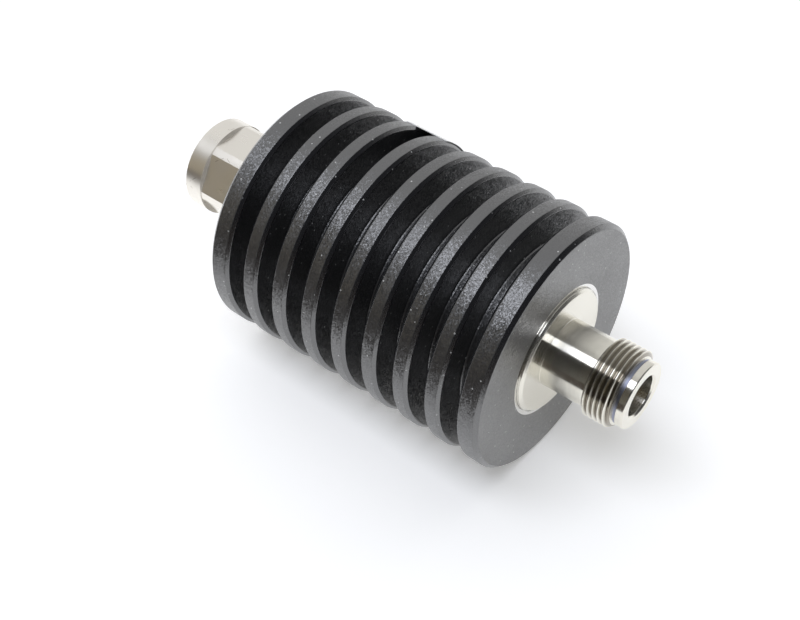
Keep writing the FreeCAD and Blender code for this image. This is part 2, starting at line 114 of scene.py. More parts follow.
def new_finish(name, colour, **shader_values):
    """A material with a Principled shader, its plain values set on the shader's own sockets."""
    material = bpy.data.materials.new(name)
    material.use_nodes = True
    tree = material.node_tree
    shader = tree.nodes["Principled BSDF"]
    shader.inputs["Base Color"].default_value = linear(colour)
    for socket, value in shader_values.items():
        shader.inputs[socket.replace("_", " ")].default_value = value
    place = add(tree, "TexCoord").outputs["Object"]
    return material, tree, shader, place


def from_axis(tree, place):
    """The coordinates of each point of a surface, and its distance from the part's axis."""
    axes = add(tree, "SeparateXYZ", {0: place})
    height = add(tree, "Math", {0: axes.outputs["Z"], 1: AXIS_Z}, operation="SUBTRACT")
    across = add(tree, "CombineXYZ", {1: axes.outputs["Y"], 2: height.outputs[0]})
    return axes, add(tree, "VectorMath", {0: across.outputs[0]}, operation="LENGTH")


# %% [markdown]
# ## The floor and the room
# The part lies on white paper, so the floor is pale and keeps the soft shadow. The room matters as
# much as the lamp, because nickel shows little but what stands round it. The room was worked out
# from the tones round the barrel, and it is a guess that fits them: pale behind, a long lamp
# overhead, dark in front down to the paper's front edge, and white paper below that.

# %% Floor
FLOOR_RADIUS = 3.0
PAPER_EDGE_Y, PAPER_EDGE_BLUR = -64, 8
PAPER_GLOW, MIRRORED_GLOW = 0.3, 0.45
floor_finish, tree, shader, place = new_finish("white_paper", "#d8d8d6", Roughness=0.9)
shader.inputs["Specular IOR Level"].default_value = 0.0
rays = add(tree, "LightPath")
seen = add(tree, "Math", {0: rays.outputs["Is Camera Ray"], 1: rays.outputs["Is Glossy Ray"]},
           operation="MAXIMUM")
# seen directly or in the metal, the paper is nearly white and glows a little, so that only its
# deepest shadow shows. The glow in the metal is stronger, fitted to the barrel's lower side. The
# paper's front edge gives way to the dark side of the room in the metal only
axes = add(tree, "SeparateXYZ", {0: place})
beyond = add(tree, "MapRange", {0: axes.outputs["Y"], 1: PAPER_EDGE_Y * MM,
                                2: (PAPER_EDGE_Y - PAPER_EDGE_BLUR) * MM})
table = add(tree, "Math", {0: beyond.outputs[0], 1: rays.outputs["Is Glossy Ray"]},
            operation="MULTIPLY")
paper = add(tree, "Mix", {0: seen.outputs[0], 6: linear("#d8d8d6"), 7: linear("#fcfcfb")},
            data_type="RGBA")
colour = add(tree, "Mix", {0: table.outputs[0], 6: paper.outputs[2], 7: linear("#4a443f")},
             data_type="RGBA")
tree.links.new(colour.outputs[2], shader.inputs["Base Color"])
mirrored = add(tree, "MapRange", {0: rays.outputs["Is Glossy Ray"], 3: PAPER_GLOW,
                                  4: MIRRORED_GLOW})
share = add(tree, "Math", {0: seen.outputs[0], 1: mirrored.outputs[0]}, operation="MULTIPLY")
glow = add(tree, "Emission", {"Color": colour.outputs[2], "Strength": share.outputs[0]})
both = add(tree, "AddShader", {0: shader.outputs[0], 1: glow.outputs[0]})
tree.links.new(both.outputs[0], tree.nodes["Material Output"].inputs["Surface"])

bm = bmesh.new()
bmesh.ops.create_circle(bm, cap_ends=True, segments=64, radius=FLOOR_RADIUS)
mesh = bpy.data.meshes.new("floor")
bm.to_mesh(mesh)
bm.free()
mesh.materials.append(floor_finish)
floor = bpy.data.objects.new("floor", mesh)
bpy.context.scene.collection.objects.link(floor)
print("floor at z = 0, radius", FLOOR_RADIUS, "m")

# %% Room
ROOM_LEVEL = 0.86
CEILING_LEVEL = 0.58
DARK_SIDE = Vector((0.25, -0.97, 0.0))
DARK_FROM, DARK_FULL = 0.38, 0.46

world = bpy.data.worlds.new("studio_room")
bpy.context.scene.world = world
world.use_nodes = True
tree = world.node_tree
background = tree.nodes["Background"]
direction = add(tree, "TexCoord").outputs["Generated"]
axes = add(tree, "SeparateXYZ", {0: direction})
towards = add(tree, "VectorMath", {0: direction, 1: DARK_SIDE}, operation="DOT_PRODUCT")
dark = add(tree, "MapRange", {0: towards.outputs["Value"], 1: DARK_FROM, 2: DARK_FULL},
           interpolation_type="SMOOTHSTEP")
overhead = add(tree, "MapRange", {0: towards.outputs["Value"], 1: -0.35, 2: 0.1},
               interpolation_type="SMOOTHSTEP")
pale = add(tree, "Mix", {0: overhead.outputs[0], 6: [ROOM_LEVEL] * 3 + [1.0],
                         7: [CEILING_LEVEL] * 3 + [1.0]}, data_type="RGBA")
height = add(tree, "MapRange", {0: axes.outputs["Z"], 1: 0.05, 2: 0.6})
front = add(tree, "Mix", {0: height.outputs[0], 6: linear("#686763"), 7: linear("#3c3b39")},
            data_type="RGBA")
# the front is lighter and warmer on the plug's side, and the jack's side is dark all the way up
plug_side = add(tree, "MapRange", {0: axes.outputs["X"], 1: -0.34, 2: -0.6})
shade = add(tree, "Mix", {0: plug_side.outputs[0], 6: front.outputs[2], 7: linear("#b1a794")},
            data_type="RGBA")
sides = add(tree, "Mix", {0: dark.outputs[0], 6: pale.outputs[2], 7: shade.outputs[2]},
            data_type="RGBA")
jack_side = add(tree, "MapRange", {0: axes.outputs["X"], 1: 0.15, 2: 0.6},
                interpolation_type="SMOOTHSTEP")
room = add(tree, "Mix", {0: jack_side.outputs[0], 6: sides.outputs[2], 7: linear("#3a3a3c")},
           data_type="RGBA")
rays = add(tree, "LightPath")
shown = add(tree, "Mix", {0: rays.outputs["Is Camera Ray"], 6: room.outputs[2],
                          7: linear("#ffffff")}, data_type="RGBA")
tree.links.new(shown.outputs[2], background.inputs["Color"])
print("room level", ROOM_LEVEL, "overhead", CEILING_LEVEL)

# %% [markdown]
# ## The lamp
# One long lamp hangs over the part and a little in front. The bright line along the barrel is its
# image. Its width also sets how soft the shadow's edge is.

# %% Lamp
LAMP_FROM = Vector((0.0, -0.36, 0.93)).normalized()
LAMP_DISTANCE, LAMP_WIDTH, LAMP_LENGTH, LAMP_WATTS = 1.2, 0.49, 1.2, 7.8
lamp_data = bpy.data.lights.new("long_lamp_overhead", "AREA")
lamp_data.shape = "RECTANGLE"
lamp_data.size, lamp_data.size_y = LAMP_LENGTH, LAMP_WIDTH
lamp_data.energy = LAMP_WATTS
lamp_data.color = linear("#f0f4ff")[:3]
lamp = bpy.data.objects.new("long_lamp_overhead", lamp_data)
lamp.location = Vector((0, 0, AXIS_Z)) + LAMP_FROM * LAMP_DISTANCE
along_axis = Vector((1, 0, 0))
lamp.rotation_mode = "QUATERNION"
lamp.rotation_quaternion = Matrix((along_axis, LAMP_FROM.cross(along_axis),
                                   LAMP_FROM)).transposed().to_quaternion()
bpy.context.scene.collection.objects.link(lamp)
print("lamp", LAMP_WATTS, "W at", [round(v, 2) for v in lamp.location])

# %% [markdown]
# ## Turning pieces
# A lathe makes a piece from one outline, and so does the spin operator. The outline is a chain of
# a few vertices. Its corners are broken by a small vertex bevel, as a file would break them, and
# the spin carries the chain once round the axis. Lengths run outwards from a heatsink end.

# %% Turning
TURN_STEPS, FIN_STEPS, NUT_STEPS = 192, 256, 144
WELD_MM, SHARP_DEGREES = 0.001, 12


def outline_chain(bm, points, start, side, closed=True):
    """Vertices joined by edges: (along, radius) in mm, measured outwards from a heatsink end."""
    chain = [bm.verts.new((start + side * along * MM, 0, AXIS_Z + radius * MM))
             for along, radius in points]
    for first, second in zip(chain, chain[1:]):
        bm.edges.new((first, second))
    if closed:
        bm.edges.new((chain[-1], chain[0]))
    return chain


def break_corners(bm, corners, width):
    bmesh.ops.bevel(bm, geom=corners, offset=width * MM, offset_type="OFFSET", segments=2,
                    profile=0.5, affect="VERTICES", material=-1)


def spin_round(bm, steps, kept=()):
    """Spin every loose outline round the axis, and leave the kept geometry as it is."""
    kept = set(kept)
    verts = [vert for vert in bm.verts if vert not in kept]
    edges = [edge for edge in bm.edges if not kept.intersection(edge.verts)]
    bmesh.ops.spin(bm, geom=verts + edges, cent=(0, 0, AXIS_Z), axis=(1, 0, 0),
                   dvec=(0, 0, 0), angle=math.tau, steps=steps, use_merge=True)


def finish_piece(name, bm, body, finish, node):
    """Close the mesh, point its faces outwards, and hang it on its body in a node's place."""
    bmesh.ops.remove_doubles(bm, verts=bm.verts, dist=WELD_MM * MM)
    bmesh.ops.recalc_face_normals(bm, faces=bm.faces)
    open_edges = sum(1 for edge in bm.edges if len(edge.link_faces) != 2)
    triangles = sum(len(face.verts) - 2 for face in bm.faces)
    mesh = bpy.data.meshes.new(name)
    bm.to_mesh(mesh)
    bm.free()
    mesh.shade_smooth()
    mesh.set_sharp_from_angle(angle=math.radians(SHARP_DEGREES))
    mesh.materials.append(finish)
    piece = bpy.data.objects.new(name, mesh)
    bpy.context.scene.collection.objects.link(piece)
    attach(piece, body)
    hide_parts(node)
    print(name, triangles, "triangles,", open_edges, "open edges")


# %% [markdown]
# ## Threads
# Both threads are cut 24 to the inch. One pitch of the outline is spun along a helix, so that each
# turn meets the last one and the doubles between them merge. Where the thread starts, the lathe's
# chamfer holds it back, and two planes trim the band so that it can be bridged to the turned part.

# %% Threads
PITCH = 25.4 / 24
THREAD_STEPS = 96
THREAD_DEPTH = 0.65


def radius_of(vert):
    return math.hypot(vert.co.y, vert.co.z - AXIS_Z)


def set_radius(vert, radius):
    scale = radius / radius_of(vert)
    vert.co.y *= scale
    vert.co.z = AXIS_Z + (vert.co.z - AXIS_Z) * scale


def spin_thread(bm, low_x, high_x, root_r, crest_r, hold_back):
    """A right-handed thread from one x to another, each radius held back by hold_back(x, r)."""
    flat = PITCH / 16
    middle = PITCH / 2
    profile = [(0, root_r), (flat, root_r), (middle - flat, crest_r), (middle + flat, crest_r),
               (PITCH - flat, root_r), (PITCH, root_r)]
    chain = outline_chain(bm, profile, low_x - PITCH * MM, 1, closed=False)
    break_corners(bm, chain[1:-1], 0.05)
    flanks = [edge for edge in bm.edges if edge.calc_length() > 0.3 * MM]
    bmesh.ops.subdivide_edges(bm, edges=flanks, cuts=4)
    turns = math.ceil((high_x - low_x) / (PITCH * MM)) + 1
    bmesh.ops.spin(bm, geom=bm.verts[:] + bm.edges[:], cent=(0, 0, AXIS_Z), axis=(1, 0, 0),
                   dvec=(PITCH * MM / THREAD_STEPS, 0, 0), angle=math.tau * turns,
                   steps=THREAD_STEPS * turns, use_merge=False)
    bmesh.ops.remove_doubles(bm, verts=bm.verts, dist=0.002 * MM)
    for vert in bm.verts:
        set_radius(vert, hold_back(vert.co.x, radius_of(vert)))
    for x, low in ((low_x, True), (high_x, False)):
        bmesh.ops.bisect_plane(bm, geom=bm.verts[:] + bm.edges[:] + bm.faces[:],
                               plane_co=(x, 0, 0), plane_no=(1, 0, 0),
                               clear_inner=low, clear_outer=not low)
    print("thread:", round((high_x - low_x) / MM / PITCH, 1), "turns of", round(PITCH, 3), "mm")


def bridge_at(bm, x, reach=0.12):
    """Join the two open loops that lie on either side of x."""
    loops = [edge for edge in bm.edges if len(edge.link_faces) == 1
             and all(abs(vert.co.x - x) < reach * MM for vert in edge.verts)]
    bmesh.ops.bridge_loops(bm, edges=loops)


# %% [markdown]
# ## Black anodised aluminium
# The block looks bead blasted and dyed black. Blasting leaves small dimples, and each dimple's wall
# sends back its own glint, so the normal is tipped by a random amount in each small cell. Real
# dimples are about 0.1 mm, and they are drawn at 0.21 mm, since the photograph can't show finer
# ones. The hard oxide's IOR is about 1.77. 2.3 is used because it came closer to the photograph's
# gloss side by side, and that is a fit with no known cause. The bevels look darker and smoother
# than the lands, as if cut after blasting. The ring at the mouth of the bore is bare metal.

# %% Black anodised finish
DIMPLE_MM = 0.21
DIMPLE_TILT = 0.26
DUST_MM = 1.7
CUT_RING_R = 13.42
BEVEL_BAND, LAND_SKIN = 0.78, 0.05
DYED = "#0e0f13"
anodised, tree, shader, place = new_finish(
    "black_anodised_bead_blasted_aluminium", DYED, Roughness=0.4, IOR=2.3,
    Sheen_Weight=0.05, Sheen_Roughness=0.4)
axes, radius = from_axis(tree, place)
cut = add(tree, "Math", {0: radius.outputs["Value"], 1: CUT_RING_R * MM}, operation="LESS_THAN")
outside = add(tree, "Math", {0: radius.outputs["Value"], 1: (FIN_R - BEVEL_BAND) * MM},
              operation="GREATER_THAN")
below = add(tree, "Math", {0: radius.outputs["Value"], 1: (FIN_R - LAND_SKIN) * MM},
            operation="LESS_THAN")
bevels = add(tree, "Math", {0: outside.outputs[0], 1: below.outputs[0]}, operation="MULTIPLY")

# broad patches where the blasting was lighter, smoother bevels, and the smooth bare ring
patches = add(tree, "TexNoise", {"Vector": place, "Scale": 1 / (7 * MM), "Detail": 3.0})
tone = add(tree, "MapRange", {0: patches.outputs[0], 1: 0.3, 2: 0.7, 3: 0.33, 4: 0.41})
blasted = add(tree, "Mix", {0: bevels.outputs[0], 2: tone.outputs[0], 3: 0.24})
rough = add(tree, "Mix", {0: cut.outputs[0], 2: blasted.outputs[0], 3: 0.13})
tree.links.new(rough.outputs[0], shader.inputs["Roughness"])
tree.links.new(cut.outputs[0], shader.inputs["Metallic"])

# dust: two cells in three hold a pale speck, and few of those meet the surface
cells = add(tree, "TexVoronoi", {"Vector": place, "Scale": 1 / (DUST_MM * MM)})
speck = add(tree, "Math", {0: cells.outputs["Distance"], 1: 0.09}, operation="LESS_THAN")
drawn = add(tree, "SeparateColor", {0: cells.outputs["Color"]})
chosen = add(tree, "Math", {0: drawn.outputs[0], 1: 0.35}, operation="GREATER_THAN")
dust = add(tree, "Math", {0: speck.outputs[0], 1: chosen.outputs[0]}, operation="MULTIPLY")
# the end faces are painted a lighter grey than the fins, a painted highlight for the light that
# falls on them; the grey is fitted to the photograph, and the far end is assumed to be alike;
# the end face is lighter than the fins in the photograph; the grey is fitted to that, its cause
# isn't known, and the far end is assumed to be alike
from_middle = add(tree, "Math", {0: axes.outputs["X"], 1: (JACK_END + PLUG_END) / 2},
                  operation="SUBTRACT")
far = add(tree, "Math", {0: from_middle.outputs[0]}, operation="ABSOLUTE")
ends = add(tree, "Math", {0: far.outputs[0], 1: (JACK_END - PLUG_END) / 2 - LAND_SKIN * MM},
           operation="GREATER_THAN")
# painted highlight: the end faces get a lighter grey than the dye
black = add(tree, "Mix", {0: ends.outputs[0], 6: linear(DYED), 7: linear("#4d4c4b")},
            data_type="RGBA")
dyed_dust_and_painted_end_light = add(tree, "Mix", {0: dust.outputs[0], 6: black.outputs[2], 7: linear("#b9bab8")},
           data_type="RGBA")
colour = add(tree, "Mix", {0: cut.outputs[0], 6: dyed_dust_and_painted_end_light.outputs[2], 7: linear("#dedddb")},
             data_type="RGBA")
tree.links.new(colour.outputs[2], shader.inputs["Base Color"])

# each dimple's own tilt, and the chatter marks of the bare ring
facets = add(tree, "TexVoronoi", {"Vector": place, "Scale": 1 / (DIMPLE_MM * MM)})
centred = add(tree, "VectorMath", {0: facets.outputs["Color"], 1: (0.5, 0.5, 0.5)},
              operation="SUBTRACT")
smooth = add(tree, "Math", {0: bevels.outputs[0], 1: cut.outputs[0]}, operation="MAXIMUM")
amount = add(tree, "MapRange", {0: smooth.outputs[0], 3: DIMPLE_TILT, 4: 0.06})
tilt = add(tree, "VectorMath", {0: centred.outputs[0], "Scale": amount.outputs[0]},
           operation="SCALE")
normal = add(tree, "NewGeometry").outputs["Normal"]
tipped = add(tree, "VectorMath", {0: normal, 1: tilt.outputs[0]}, operation="ADD")
turned = add(tree, "VectorMath", {0: tipped.outputs[0]}, operation="NORMALIZE")
chatter = add(tree, "TexNoise", {"Vector": place, "Scale": 1 / (1.1 * MM), "Detail": 2.0})
depth = add(tree, "Math", {0: cut.outputs[0], 1: 0.3}, operation="MULTIPLY")
relief = add(tree, "Bump", {"Height": chatter.outputs[0], "Strength": depth.outputs[0],
                            "Distance": 0.06 * MM, "Normal": turned.outputs[0]})
tree.links.new(relief.outputs[0], shader.inputs["Normal"])
print("anodised finish: dimples", DIMPLE_MM, "mm, bare ring inside", CUT_RING_R, "mm")

# %% [markdown]
# ## The heatsink
# Nine fins stand on one round block with eight grooves turned into it. Each fin has a small bevel,
# and every edge is broken a little. The broken edges are under 0.1 mm, so they show only faintly:
# the photograph's thin bright line along each fin is stronger than the one they give.

# %% Heatsink
FIN_COUNT, END_FIN, FIN_WIDTH, FIN_GAP = 9, 4.6, 3.5, 3.7
ROOT_R, BORE_R, MOUTH_R, MOUTH_DEPTH = 18.5, 12.65, 13.4, 0.15
FIN_BEVEL, END_BEVEL = 0.6, 0.8
EDGE_BREAK, ROOT_ROUND = 0.09, 0.3
BLOCK_LENGTH = (JACK_END - PLUG_END) / MM

outline = [(-BLOCK_LENGTH + MOUTH_DEPTH, BORE_R), (-BLOCK_LENGTH, MOUTH_R),
           (-BLOCK_LENGTH, FIN_R - END_BEVEL), (-BLOCK_LENGTH + END_BEVEL, FIN_R)]
for groove in range(FIN_COUNT - 2, -1, -1):
    right = -END_FIN - groove * (FIN_WIDTH + FIN_GAP)
    left = right - FIN_GAP
    outline += [(left - FIN_BEVEL, FIN_R), (left, FIN_R - FIN_BEVEL), (left, ROOT_R),
                (right, ROOT_R), (right, FIN_R - FIN_BEVEL), (right + FIN_BEVEL, FIN_R)]
outline += [(-END_BEVEL, FIN_R), (0, FIN_R - END_BEVEL), (0, MOUTH_R), (-MOUTH_DEPTH, BORE_R)]

bm = bmesh.new()
chain = outline_chain(bm, outline, JACK_END, 1)
roots = [corner for corner, point in zip(chain, outline) if point[1] == ROOT_R]
lands = [corner for corner, point in zip(chain, outline) if point[1] > ROOT_R]
break_corners(bm, roots, ROOT_ROUND)
break_corners(bm, lands, EDGE_BREAK)
spin_round(bm, FIN_STEPS)
finish_piece("heatsink_turned", bm, "housing", anodised, "heatsink")

# %% [markdown]
# ## Nickel plate
# The jack is taken to be turned brass under bright nickel. It mirrors the room. Fine turning marks
# run round it, so they change along the axis and outwards but never round the piece, and only the
# smudges do that. The nut looks satin, as if tumbled before plating, which spreads each reflection.

# %% Measures of the jack
BARREL_R, THREAD_R, RELIEF_R, NOSE_R, JACK_BORE_R, LINE_R = 6.8, 7.9, 6.4, 6.7, 4.05, 3.5
JACK_REACH, SHELL_DEPTH, NOSE_LENGTH, RELIEF_WIDTH, THREAD_LENGTH = 18.0, 9.1, 1.5, 0.6, 6.2
nose_back = JACK_REACH - NOSE_LENGTH
thread_front = nose_back - RELIEF_WIDTH
thread_back = thread_front - THREAD_LENGTH

# %% Bright nickel
LATHE_MARK_MM = 0.16
BRIGHT = "#dcd9cf"
bright_nickel, tree, shader, place = new_finish(
    "bright_nickel_plate_on_turned_brass", BRIGHT, Metallic=1.0, Roughness=0.2,
    Anisotropic=0.95, Anisotropic_Rotation=0.25)
round_axis = add(tree, "Tangent", direction_type="RADIAL", axis="X")
tree.links.new(round_axis.outputs[0], shader.inputs["Tangent"])
axes, radius = from_axis(tree, place)
tool_path = add(tree, "CombineXYZ", {0: axes.outputs["X"], 1: radius.outputs["Value"]})
marks = add(tree, "TexNoise", {"Vector": tool_path.outputs[0], "Scale": 1 / (LATHE_MARK_MM * MM),
                               "Detail": 2.0}, noise_dimensions="2D")
bands = add(tree, "TexNoise", {"Vector": tool_path.outputs[0], "Scale": 1 / (1.6 * MM)},
            noise_dimensions="2D")
smudges = add(tree, "TexNoise", {"Vector": place, "Scale": 1 / (3 * MM), "Detail": 4.0})
both = add(tree, "Math", {0: bands.outputs[0], 1: smudges.outputs[0]}, operation="MULTIPLY")
gloss = add(tree, "MapRange", {0: both.outputs[0], 1: 0.12, 2: 0.4, 3: 0.16, 4: 0.26})

# the relief groove is painted a matt grey-blue, a painted reflection of bluish light, and the
# thread roots are painted dark as painted shade: both tones are fitted to the photograph
past_thread = add(tree, "Math", {0: axes.outputs["X"], 1: JACK_END + thread_front * MM},
                  operation="GREATER_THAN")
in_groove = add(tree, "Math", {0: radius.outputs["Value"], 1: (NOSE_R - 0.15) * MM},
                operation="LESS_THAN")
outside_bore = add(tree, "Math", {0: radius.outputs["Value"], 1: (RELIEF_R - 0.1) * MM},
                   operation="GREATER_THAN")
ring = add(tree, "Math", {0: past_thread.outputs[0], 1: in_groove.outputs[0]},
           operation="MULTIPLY")
before_nose = add(tree, "Math", {0: axes.outputs["X"], 1: JACK_END + nose_back * MM},
                  operation="LESS_THAN")
groove = add(tree, "Math", {0: ring.outputs[0], 1: before_nose.outputs[0]}, operation="MULTIPLY")
groove = add(tree, "Math", {0: groove.outputs[0], 1: outside_bore.outputs[0]},
             operation="MULTIPLY")
past_barrel = add(tree, "Math", {0: axes.outputs["X"], 1: JACK_END + thread_back * MM},
                  operation="GREATER_THAN")
root = add(tree, "MapRange", {0: radius.outputs["Value"], 1: (THREAD_R - 0.12) * MM,
                              2: (THREAD_R - 0.5) * MM})
low = add(tree, "Math", {0: root.outputs[0], 1: past_barrel.outputs[0]}, operation="MULTIPLY")
outer = add(tree, "Math", {0: radius.outputs["Value"], 1: (NOSE_R + 0.2) * MM},
            operation="GREATER_THAN")
painted_root_shade = add(tree, "Math", {0: low.outputs[0], 1: outer.outputs[0]}, operation="MULTIPLY")
# painted shade: the thread roots are painted darker than the plate
plate = add(tree, "Mix", {0: painted_root_shade.outputs[0], 6: linear(BRIGHT), 7: linear("#918b80")},
            data_type="RGBA")
# painted reflection: the relief groove is painted grey-blue
with_painted_reflection_and_shade = add(tree, "Mix", {0: groove.outputs[0], 6: plate.outputs[2], 7: linear("#b3b7c9")},
             data_type="RGBA")
tree.links.new(with_painted_reflection_and_shade.outputs[2], shader.inputs["Base Color"])
gloss = add(tree, "Mix", {0: groove.outputs[0], 2: gloss.outputs[0], 3: 0.6})
tree.links.new(gloss.outputs[0], shader.inputs["Roughness"])
relief = add(tree, "Bump", {"Height": marks.outputs[0], "Strength": 0.12,
                            "Distance": 0.02 * MM})
tree.links.new(relief.outputs[0], shader.inputs["Normal"])
print("bright nickel: turning marks", LATHE_MARK_MM, "mm apart")

# %% Satin nickel
NUT_REACH, NUT_ROUND, SLOPE = 21.8, 4.4, 0.3
flat_end = NUT_REACH - NUT_ROUND
GRAIN_MM = 0.12
SCRATCH_MM = 5.0
satin_nickel, tree, shader, place = new_finish(
    "satin_nickel_plate_on_tumbled_brass", "#e6e2da", Metallic=1.0, Roughness=0.3)
axes = add(tree, "SeparateXYZ", {0: place})
grain = add(tree, "TexNoise", {"Vector": place, "Scale": 1 / (GRAIN_MM * MM), "Detail": 2.0})
worn = add(tree, "TexNoise", {"Vector": place, "Scale": 1 / (4 * MM), "Detail": 3.0})
gloss = add(tree, "MapRange", {0: worn.outputs[0], 1: 0.3, 2: 0.7, 3: 0.27, 4: 0.36})
# the photograph has no dark crescents where the flats end, so the shoulders are guessed to be
# rough, which scatters the light there
behind = add(tree, "Math", {0: axes.outputs["X"], 1: PLUG_END - (flat_end + 0.02) * MM},
             operation="GREATER_THAN")
ahead = add(tree, "Math", {0: axes.outputs["X"], 1: PLUG_END - (flat_end - SLOPE - 0.02) * MM},
            operation="LESS_THAN")
shoulder = add(tree, "Math", {0: behind.outputs[0], 1: ahead.outputs[0]}, operation="MULTIPLY")
gloss = add(tree, "Mix", {0: shoulder.outputs[0], 2: gloss.outputs[0], 3: 0.9})
tree.links.new(gloss.outputs[0], shader.inputs["Roughness"])
cracks = add(tree, "TexVoronoi", {"Vector": place, "Scale": 1 / (SCRATCH_MM * MM)},
             feature="DISTANCE_TO_EDGE")
thin = add(tree, "Math", {0: cracks.outputs["Distance"], 1: 0.008}, operation="LESS_THAN")
place_of = add(tree, "Math", {0: worn.outputs[0], 1: 0.6}, operation="GREATER_THAN")
scratch = add(tree, "Math", {0: thin.outputs[0], 1: place_of.outputs[0]}, operation="MULTIPLY")
tint = add(tree, "Mix", {0: scratch.outputs[0], 6: linear("#e6e2da"), 7: linear("#a39b8e")},
           data_type="RGBA")
tree.links.new(tint.outputs[2], shader.inputs["Base Color"])
relief = add(tree, "Bump", {"Height": grain.outputs[0], "Strength": 0.1, "Distance": 0.02 * MM})
tree.links.new(relief.outputs[0], shader.inputs["Normal"])
print("satin nickel: grain", GRAIN_MM, "mm")

# %% [markdown]
# ## The jack
# One turned piece: the flange that closes the heatsink's bore, a plain barrel, the thread, a
# relief groove in front of it, and the nose. The thread is spun first. The rest of the outline is
# left open where the thread belongs, so that its two open loops can be bridged to it.

# %% Jack shell
THREAD_RISE, NOSE_BEVEL, JACK_MOUTH = 0.6, 0.2, 0.4
FLANGE_R, FLANGE_PROUD, FLANGE_DEPTH, FLANGE_BEVEL = 12.6, 0.8, 2.2, 0.5
SPIGOT_R, SPIGOT_TIP = 9.0, 7.2


def below_chamfers(x, radius):
    along = (x - JACK_END) / MM
    slope = (THREAD_R - BARREL_R) / THREAD_RISE
    behind = BARREL_R + (along - thread_back) * slope
    ahead = RELIEF_R + (thread_front - along) * (THREAD_R - RELIEF_R) / THREAD_RISE
    return max(min(radius, behind * MM, ahead * MM), RELIEF_R * MM)


bm = bmesh.new()
spin_thread(bm, JACK_END + thread_back * MM, JACK_END + thread_front * MM,
            THREAD_R - THREAD_DEPTH, THREAD_R, below_chamfers)
thread_verts = bm.verts[:]
outline = [
    (thread_front + 0.05, RELIEF_R), (nose_back, RELIEF_R), (nose_back, NOSE_R),
    (JACK_REACH - NOSE_BEVEL, NOSE_R), (JACK_REACH, NOSE_R - NOSE_BEVEL),
    (JACK_REACH, JACK_BORE_R + JACK_MOUTH), (JACK_REACH - JACK_MOUTH, JACK_BORE_R),
    (JACK_REACH - SHELL_DEPTH, JACK_BORE_R), (JACK_REACH - SHELL_DEPTH, LINE_R),
    (-SPIGOT_TIP, LINE_R), (-SPIGOT_TIP, SPIGOT_R), (-FLANGE_DEPTH, SPIGOT_R),
    (-FLANGE_DEPTH, FLANGE_R), (FLANGE_PROUD - FLANGE_BEVEL, FLANGE_R),
    (FLANGE_PROUD, FLANGE_R - FLANGE_BEVEL), (FLANGE_PROUD, BARREL_R),
    (thread_back - 0.05, BARREL_R)]
chain = outline_chain(bm, outline, JACK_END, 1, closed=False)
break_corners(bm, chain[1:-1], 0.08)
spin_round(bm, TURN_STEPS, thread_verts)
bridge_at(bm, JACK_END + thread_back * MM)
bridge_at(bm, JACK_END + thread_front * MM)
finish_piece("jack_shell_threaded", bm, "housing", bright_nickel, "jack_body")

# %% [markdown]
# ## The coupling nut
# Its front is round, and six flats are milled behind for a spanner. The cutter leaves each flat
# with a short slope at its end. Here the round blank is spun with rings of vertices at both ends
# of that slope, and each vertex that stands outside a flat is moved in to it.

# %% Coupling nut
NUT_BACK, NUT_R, NUT_FLAT = 3.0, 9.8, 8.9
NUT_BEVEL, NUT_BORE_R, NUT_MINOR_R, NUT_MAJOR_R = 0.4, 6.7, 7.5, 8.1
NUT_THREAD_LENGTH, CAVITY_BACK = 8.5, 9.5
RING_ROOM_BACK, RING_ROOM_FRONT, RING_ROOM_R = 6.4, 7.6, 7.3
HEXAGON = 6
inner_back = NUT_REACH - NUT_THREAD_LENGTH
LEAD = NUT_MAJOR_R - NUT_MINOR_R


def outside_leads(x, radius):
    along = (PLUG_END - x) / MM
    front = NUT_MINOR_R + (along - (NUT_REACH - LEAD))
    back = NUT_MINOR_R + (inner_back + LEAD - along)
    return min(max(radius, front * MM, back * MM), NUT_MAJOR_R * MM)


bm = bmesh.new()
spin_thread(bm, PLUG_END - NUT_REACH * MM, PLUG_END - inner_back * MM,
            NUT_MAJOR_R, NUT_MAJOR_R - THREAD_DEPTH, outside_leads)
thread_verts = bm.verts[:]
outline = [
    (inner_back - 0.05, NUT_MAJOR_R), (CAVITY_BACK, NUT_MAJOR_R), (CAVITY_BACK, NUT_BORE_R),
    (RING_ROOM_FRONT, NUT_BORE_R), (RING_ROOM_FRONT, RING_ROOM_R), (RING_ROOM_BACK, RING_ROOM_R),
    (RING_ROOM_BACK, NUT_BORE_R), (NUT_BACK, NUT_BORE_R), (NUT_BACK, NUT_R - NUT_BEVEL * 2),
    (NUT_BACK + NUT_BEVEL, NUT_R), (flat_end - SLOPE, NUT_R), (flat_end, NUT_R),
    (NUT_REACH - NUT_BEVEL, NUT_R), (NUT_REACH, NUT_R - NUT_BEVEL), (NUT_REACH, NUT_MAJOR_R + 0.05)]
chain = outline_chain(bm, outline, PLUG_END, -1, closed=False)
spin_round(bm, NUT_STEPS, thread_verts)
thread_verts = set(thread_verts)
for vert in bm.verts:
    along = (PLUG_END - vert.co.x) / MM
    inside = radius_of(vert) < (NUT_FLAT - 1) * MM
    if vert in thread_verts or inside or along > flat_end - SLOPE / 2:
        continue
    around = math.atan2(vert.co.y, vert.co.z - AXIS_Z)
    sector = math.tau / HEXAGON
    from_flat = around - round(around / sector) * sector
    set_radius(vert, min(radius_of(vert), NUT_FLAT * MM / math.cos(from_flat)))
print("flats", NUT_FLAT * 2, "mm apart behind", NUT_ROUND, "mm of round")
bridge_at(bm, PLUG_END - NUT_REACH * MM)
bridge_at(bm, PLUG_END - inner_back * MM)
finish_piece("coupling_nut_milled", bm, "nut", satin_nickel, "coupling_nut")

# %% [markdown]
# ## The label
# A blank white sticker lies over two of the fins. Only its edge shows from the camera, as a thin
# white sliver, so its film is a guess: a soft sheen with a little unevenness.

